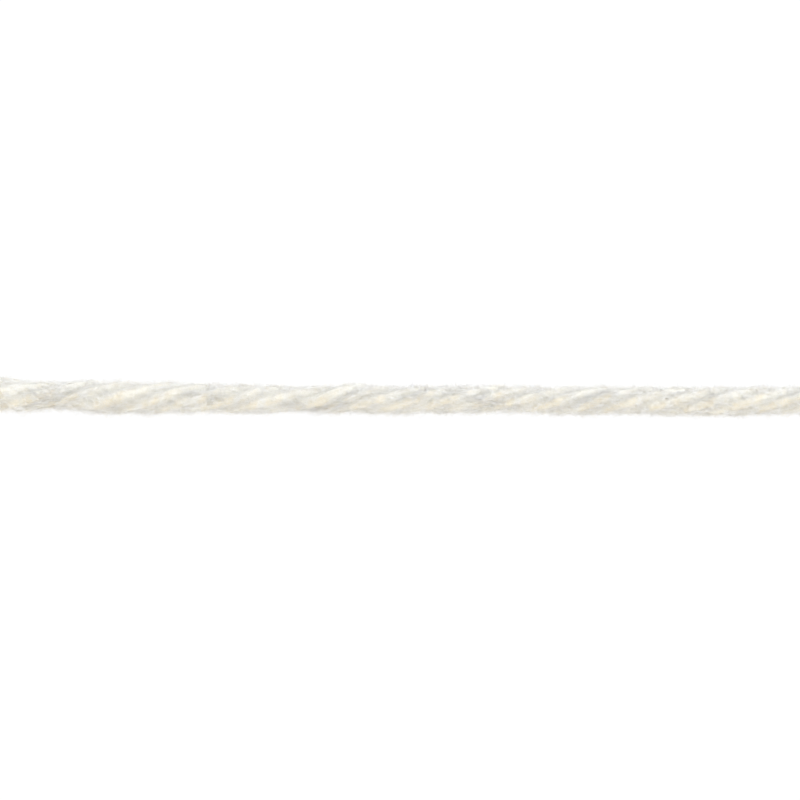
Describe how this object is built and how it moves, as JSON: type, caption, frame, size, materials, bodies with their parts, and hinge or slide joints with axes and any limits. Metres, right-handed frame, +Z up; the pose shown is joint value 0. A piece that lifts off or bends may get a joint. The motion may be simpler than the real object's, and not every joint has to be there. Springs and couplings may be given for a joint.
{
  "type": "knitting yarn",
  "caption": "A short cut length of soft cream knitting yarn, plied with a left-hand twist and slightly uneven, lying almost straight.",
  "frame": {"origin": "middle of the yarn's box, on the surface it lies on", "axes": "+X along the yarn, +Z up from the surface"},
  "size_m": [0.116, 0.0054, 0.0047],
  "materials": {
    "wool": "soft undyed cream wool with a light halo of loose fibres"
  },
  "bodies": {
    "root": {"yarn": "wool"}
  },
  "joints": []
}
